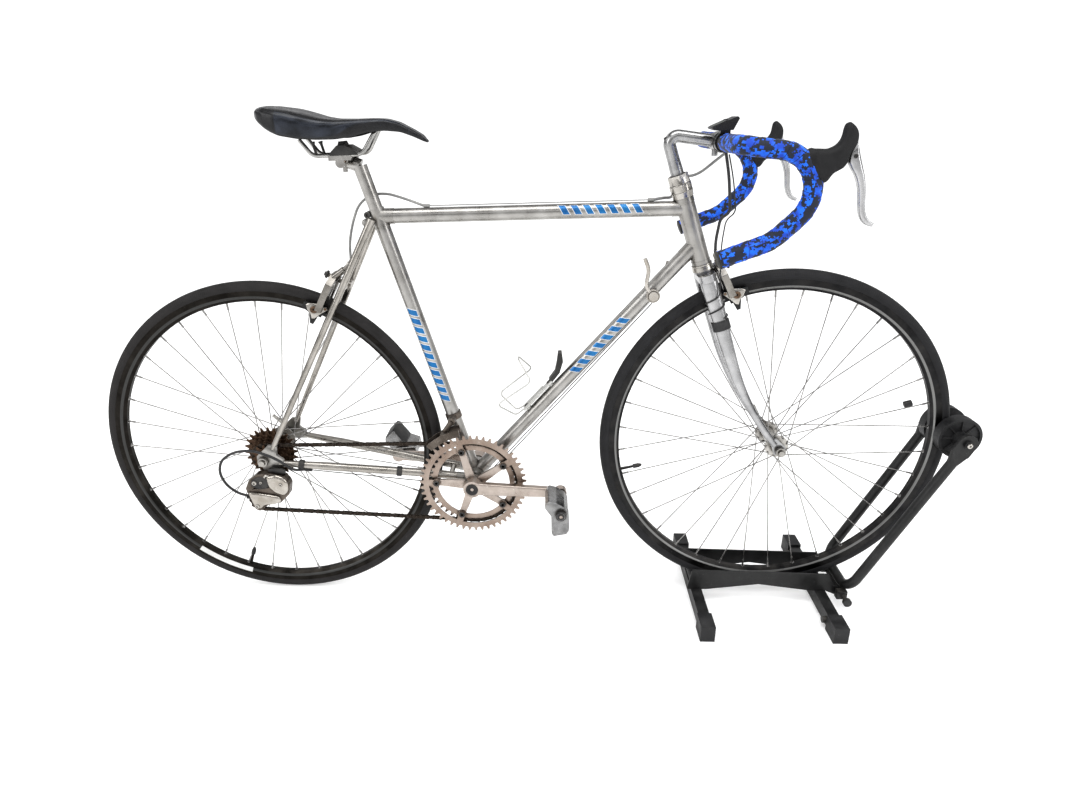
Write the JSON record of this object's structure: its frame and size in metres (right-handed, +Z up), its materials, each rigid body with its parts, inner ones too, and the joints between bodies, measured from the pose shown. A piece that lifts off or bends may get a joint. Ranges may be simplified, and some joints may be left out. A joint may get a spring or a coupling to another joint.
{
  "type": "racing bicycle in a floor stand",
  "caption": "Lugged alloy racing bicycle with drop bars, derailleur gears and wire wheels, parked with its front wheel held in a low black floor stand.",
  "frame": {"origin": "floor level, in the middle of the whole length, in the plane of the two wheels", "axes": "+X ahead, along the bicycle; +Y to the rider's left; +Z up"},
  "size_m": [1.6898, 0.3732, 0.9641],
  "materials": {
    "polished_alloy": "polished",
    "frame_alloy": "satin, brushed",
    "aged_alloy": "dulled, slightly brown",
    "rim_silver": "satin",
    "rim_grey": "hard anodised, dark",
    "steel_spokes": "bright wire",
    "sprocket_steel": "oiled, brown",
    "chain_steel": "oiled, dark",
    "tyre_rubber": "matt rubber",
    "pad_rubber": "matt rubber",
    "hood_rubber": "matt rubber",
    "tape_fabric": "blue and black blocks",
    "saddle_cover": "semi-gloss",
    "cable_housing": "grey outer",
    "black_plastic": "moulded",
    "cage_wire": "clear coated wire",
    "stand_paint": "black powder coat"
  },
  "bodies": {
    "front_end": {"fork": "frame_alloy", "headset_locknut": "polished_alloy", "stem": "polished_alloy", "handlebar": "polished_alloy", "bar_tape": "tape_fabric", "lever_hoods": "hood_rubber", "brake_levers": "polished_alloy", "front_brake": "polished_alloy", "front_brake_pads": "pad_rubber", "front_brake_cable": "cable_housing", "front_axle": "polished_alloy", "cycle_computer": "black_plastic", "computer_wire": "black_plastic", "stand_feet": "stand_paint", "stand_end_caps": "black_plastic", "stand_cradle": "stand_paint", "stand_arms": "stand_paint", "stand_hinge": "polished_alloy", "stand_grips": "black_plastic"},
    "frame": {"bottle_cage": "cage_wire", "bottom_bracket_cups": "polished_alloy", "bottom_bracket_shell": "frame_alloy", "chain": "chain_steel", "chain_stays": "frame_alloy", "down_tube": "frame_alloy", "front_derailleur": "polished_alloy", "head_tube": "frame_alloy", "headset_cups": "polished_alloy", "rear_axle": "polished_alloy", "rear_brake": "polished_alloy", "rear_brake_cable": "cable_housing", "rear_brake_pads": "pad_rubber", "rear_derailleur": "polished_alloy", "rear_dropouts": "frame_alloy", "saddle": "saddle_cover", "saddle_clamp": "black_plastic", "saddle_rails": "steel_spokes", "seat_lug": "frame_alloy", "seat_stays": "frame_alloy", "seat_tube": "frame_alloy", "seatpost": "polished_alloy", "shift_cables": "cable_housing", "shift_levers": "polished_alloy", "stay_bridges": "frame_alloy", "top_tube": "frame_alloy"},
    "front_wheel": {"front_tyre": "tyre_rubber", "front_rim": "rim_silver", "front_spokes": "steel_spokes", "front_hub": "polished_alloy"},
    "rear_wheel": {"rear_tyre": "tyre_rubber", "rear_rim": "rim_grey", "rear_spokes": "steel_spokes", "rear_hub": "polished_alloy"},
    "crankset": {"crank_right": "aged_alloy", "crank_left": "polished_alloy", "chainrings": "aged_alloy", "bottom_bracket_spindle": "aged_alloy"},
    "freewheel": {"freewheel": "sprocket_steel"},
    "pedal_right": {"pedal_right": "polished_alloy"},
    "pedal_left": {"pedal_left": "polished_alloy"}
  },
  "joints": [
    {"name": "steering", "type": "hinge", "parent": "front_end", "child": "frame", "pos_m": [0.30409, 0, 0.69691], "axis": [-0.3309, 0, 0.9437], "range_deg": [-60, 60]},
    {"name": "front_wheel_spin", "type": "hinge", "parent": "front_end", "child": "front_wheel", "pos_m": [0.46687, 0, 0.3566], "axis": [0, 1, 0], "continuous": true},
    {"name": "rear_wheel_spin", "type": "hinge", "parent": "frame", "child": "rear_wheel", "pos_m": [-0.51087, 0, 0.334], "axis": [0, 1, 0], "continuous": true},
    {"name": "crank_spin", "type": "hinge", "parent": "frame", "child": "crankset", "pos_m": [-0.11383, 0, 0.27566], "axis": [0, 1, 0], "continuous": true},
    {"name": "freewheel_spin", "type": "hinge", "parent": "frame", "child": "freewheel", "pos_m": [-0.51087, 0, 0.334], "axis": [0, 1, 0], "continuous": true},
    {"name": "pedal_right_spin", "type": "hinge", "parent": "crankset", "child": "pedal_right", "pos_m": [0.05615, -0.084, 0.27336], "axis": [0, 1, 0], "continuous": true},
    {"name": "pedal_left_spin", "type": "hinge", "parent": "crankset", "child": "pedal_left", "pos_m": [-0.28382, 0.084, 0.27796], "axis": [0, 1, 0], "continuous": true}
  ],
  "couplings": [
    {"joint": "freewheel_spin", "follows": "crank_spin", "ratio": 3.2308}
  ]
}
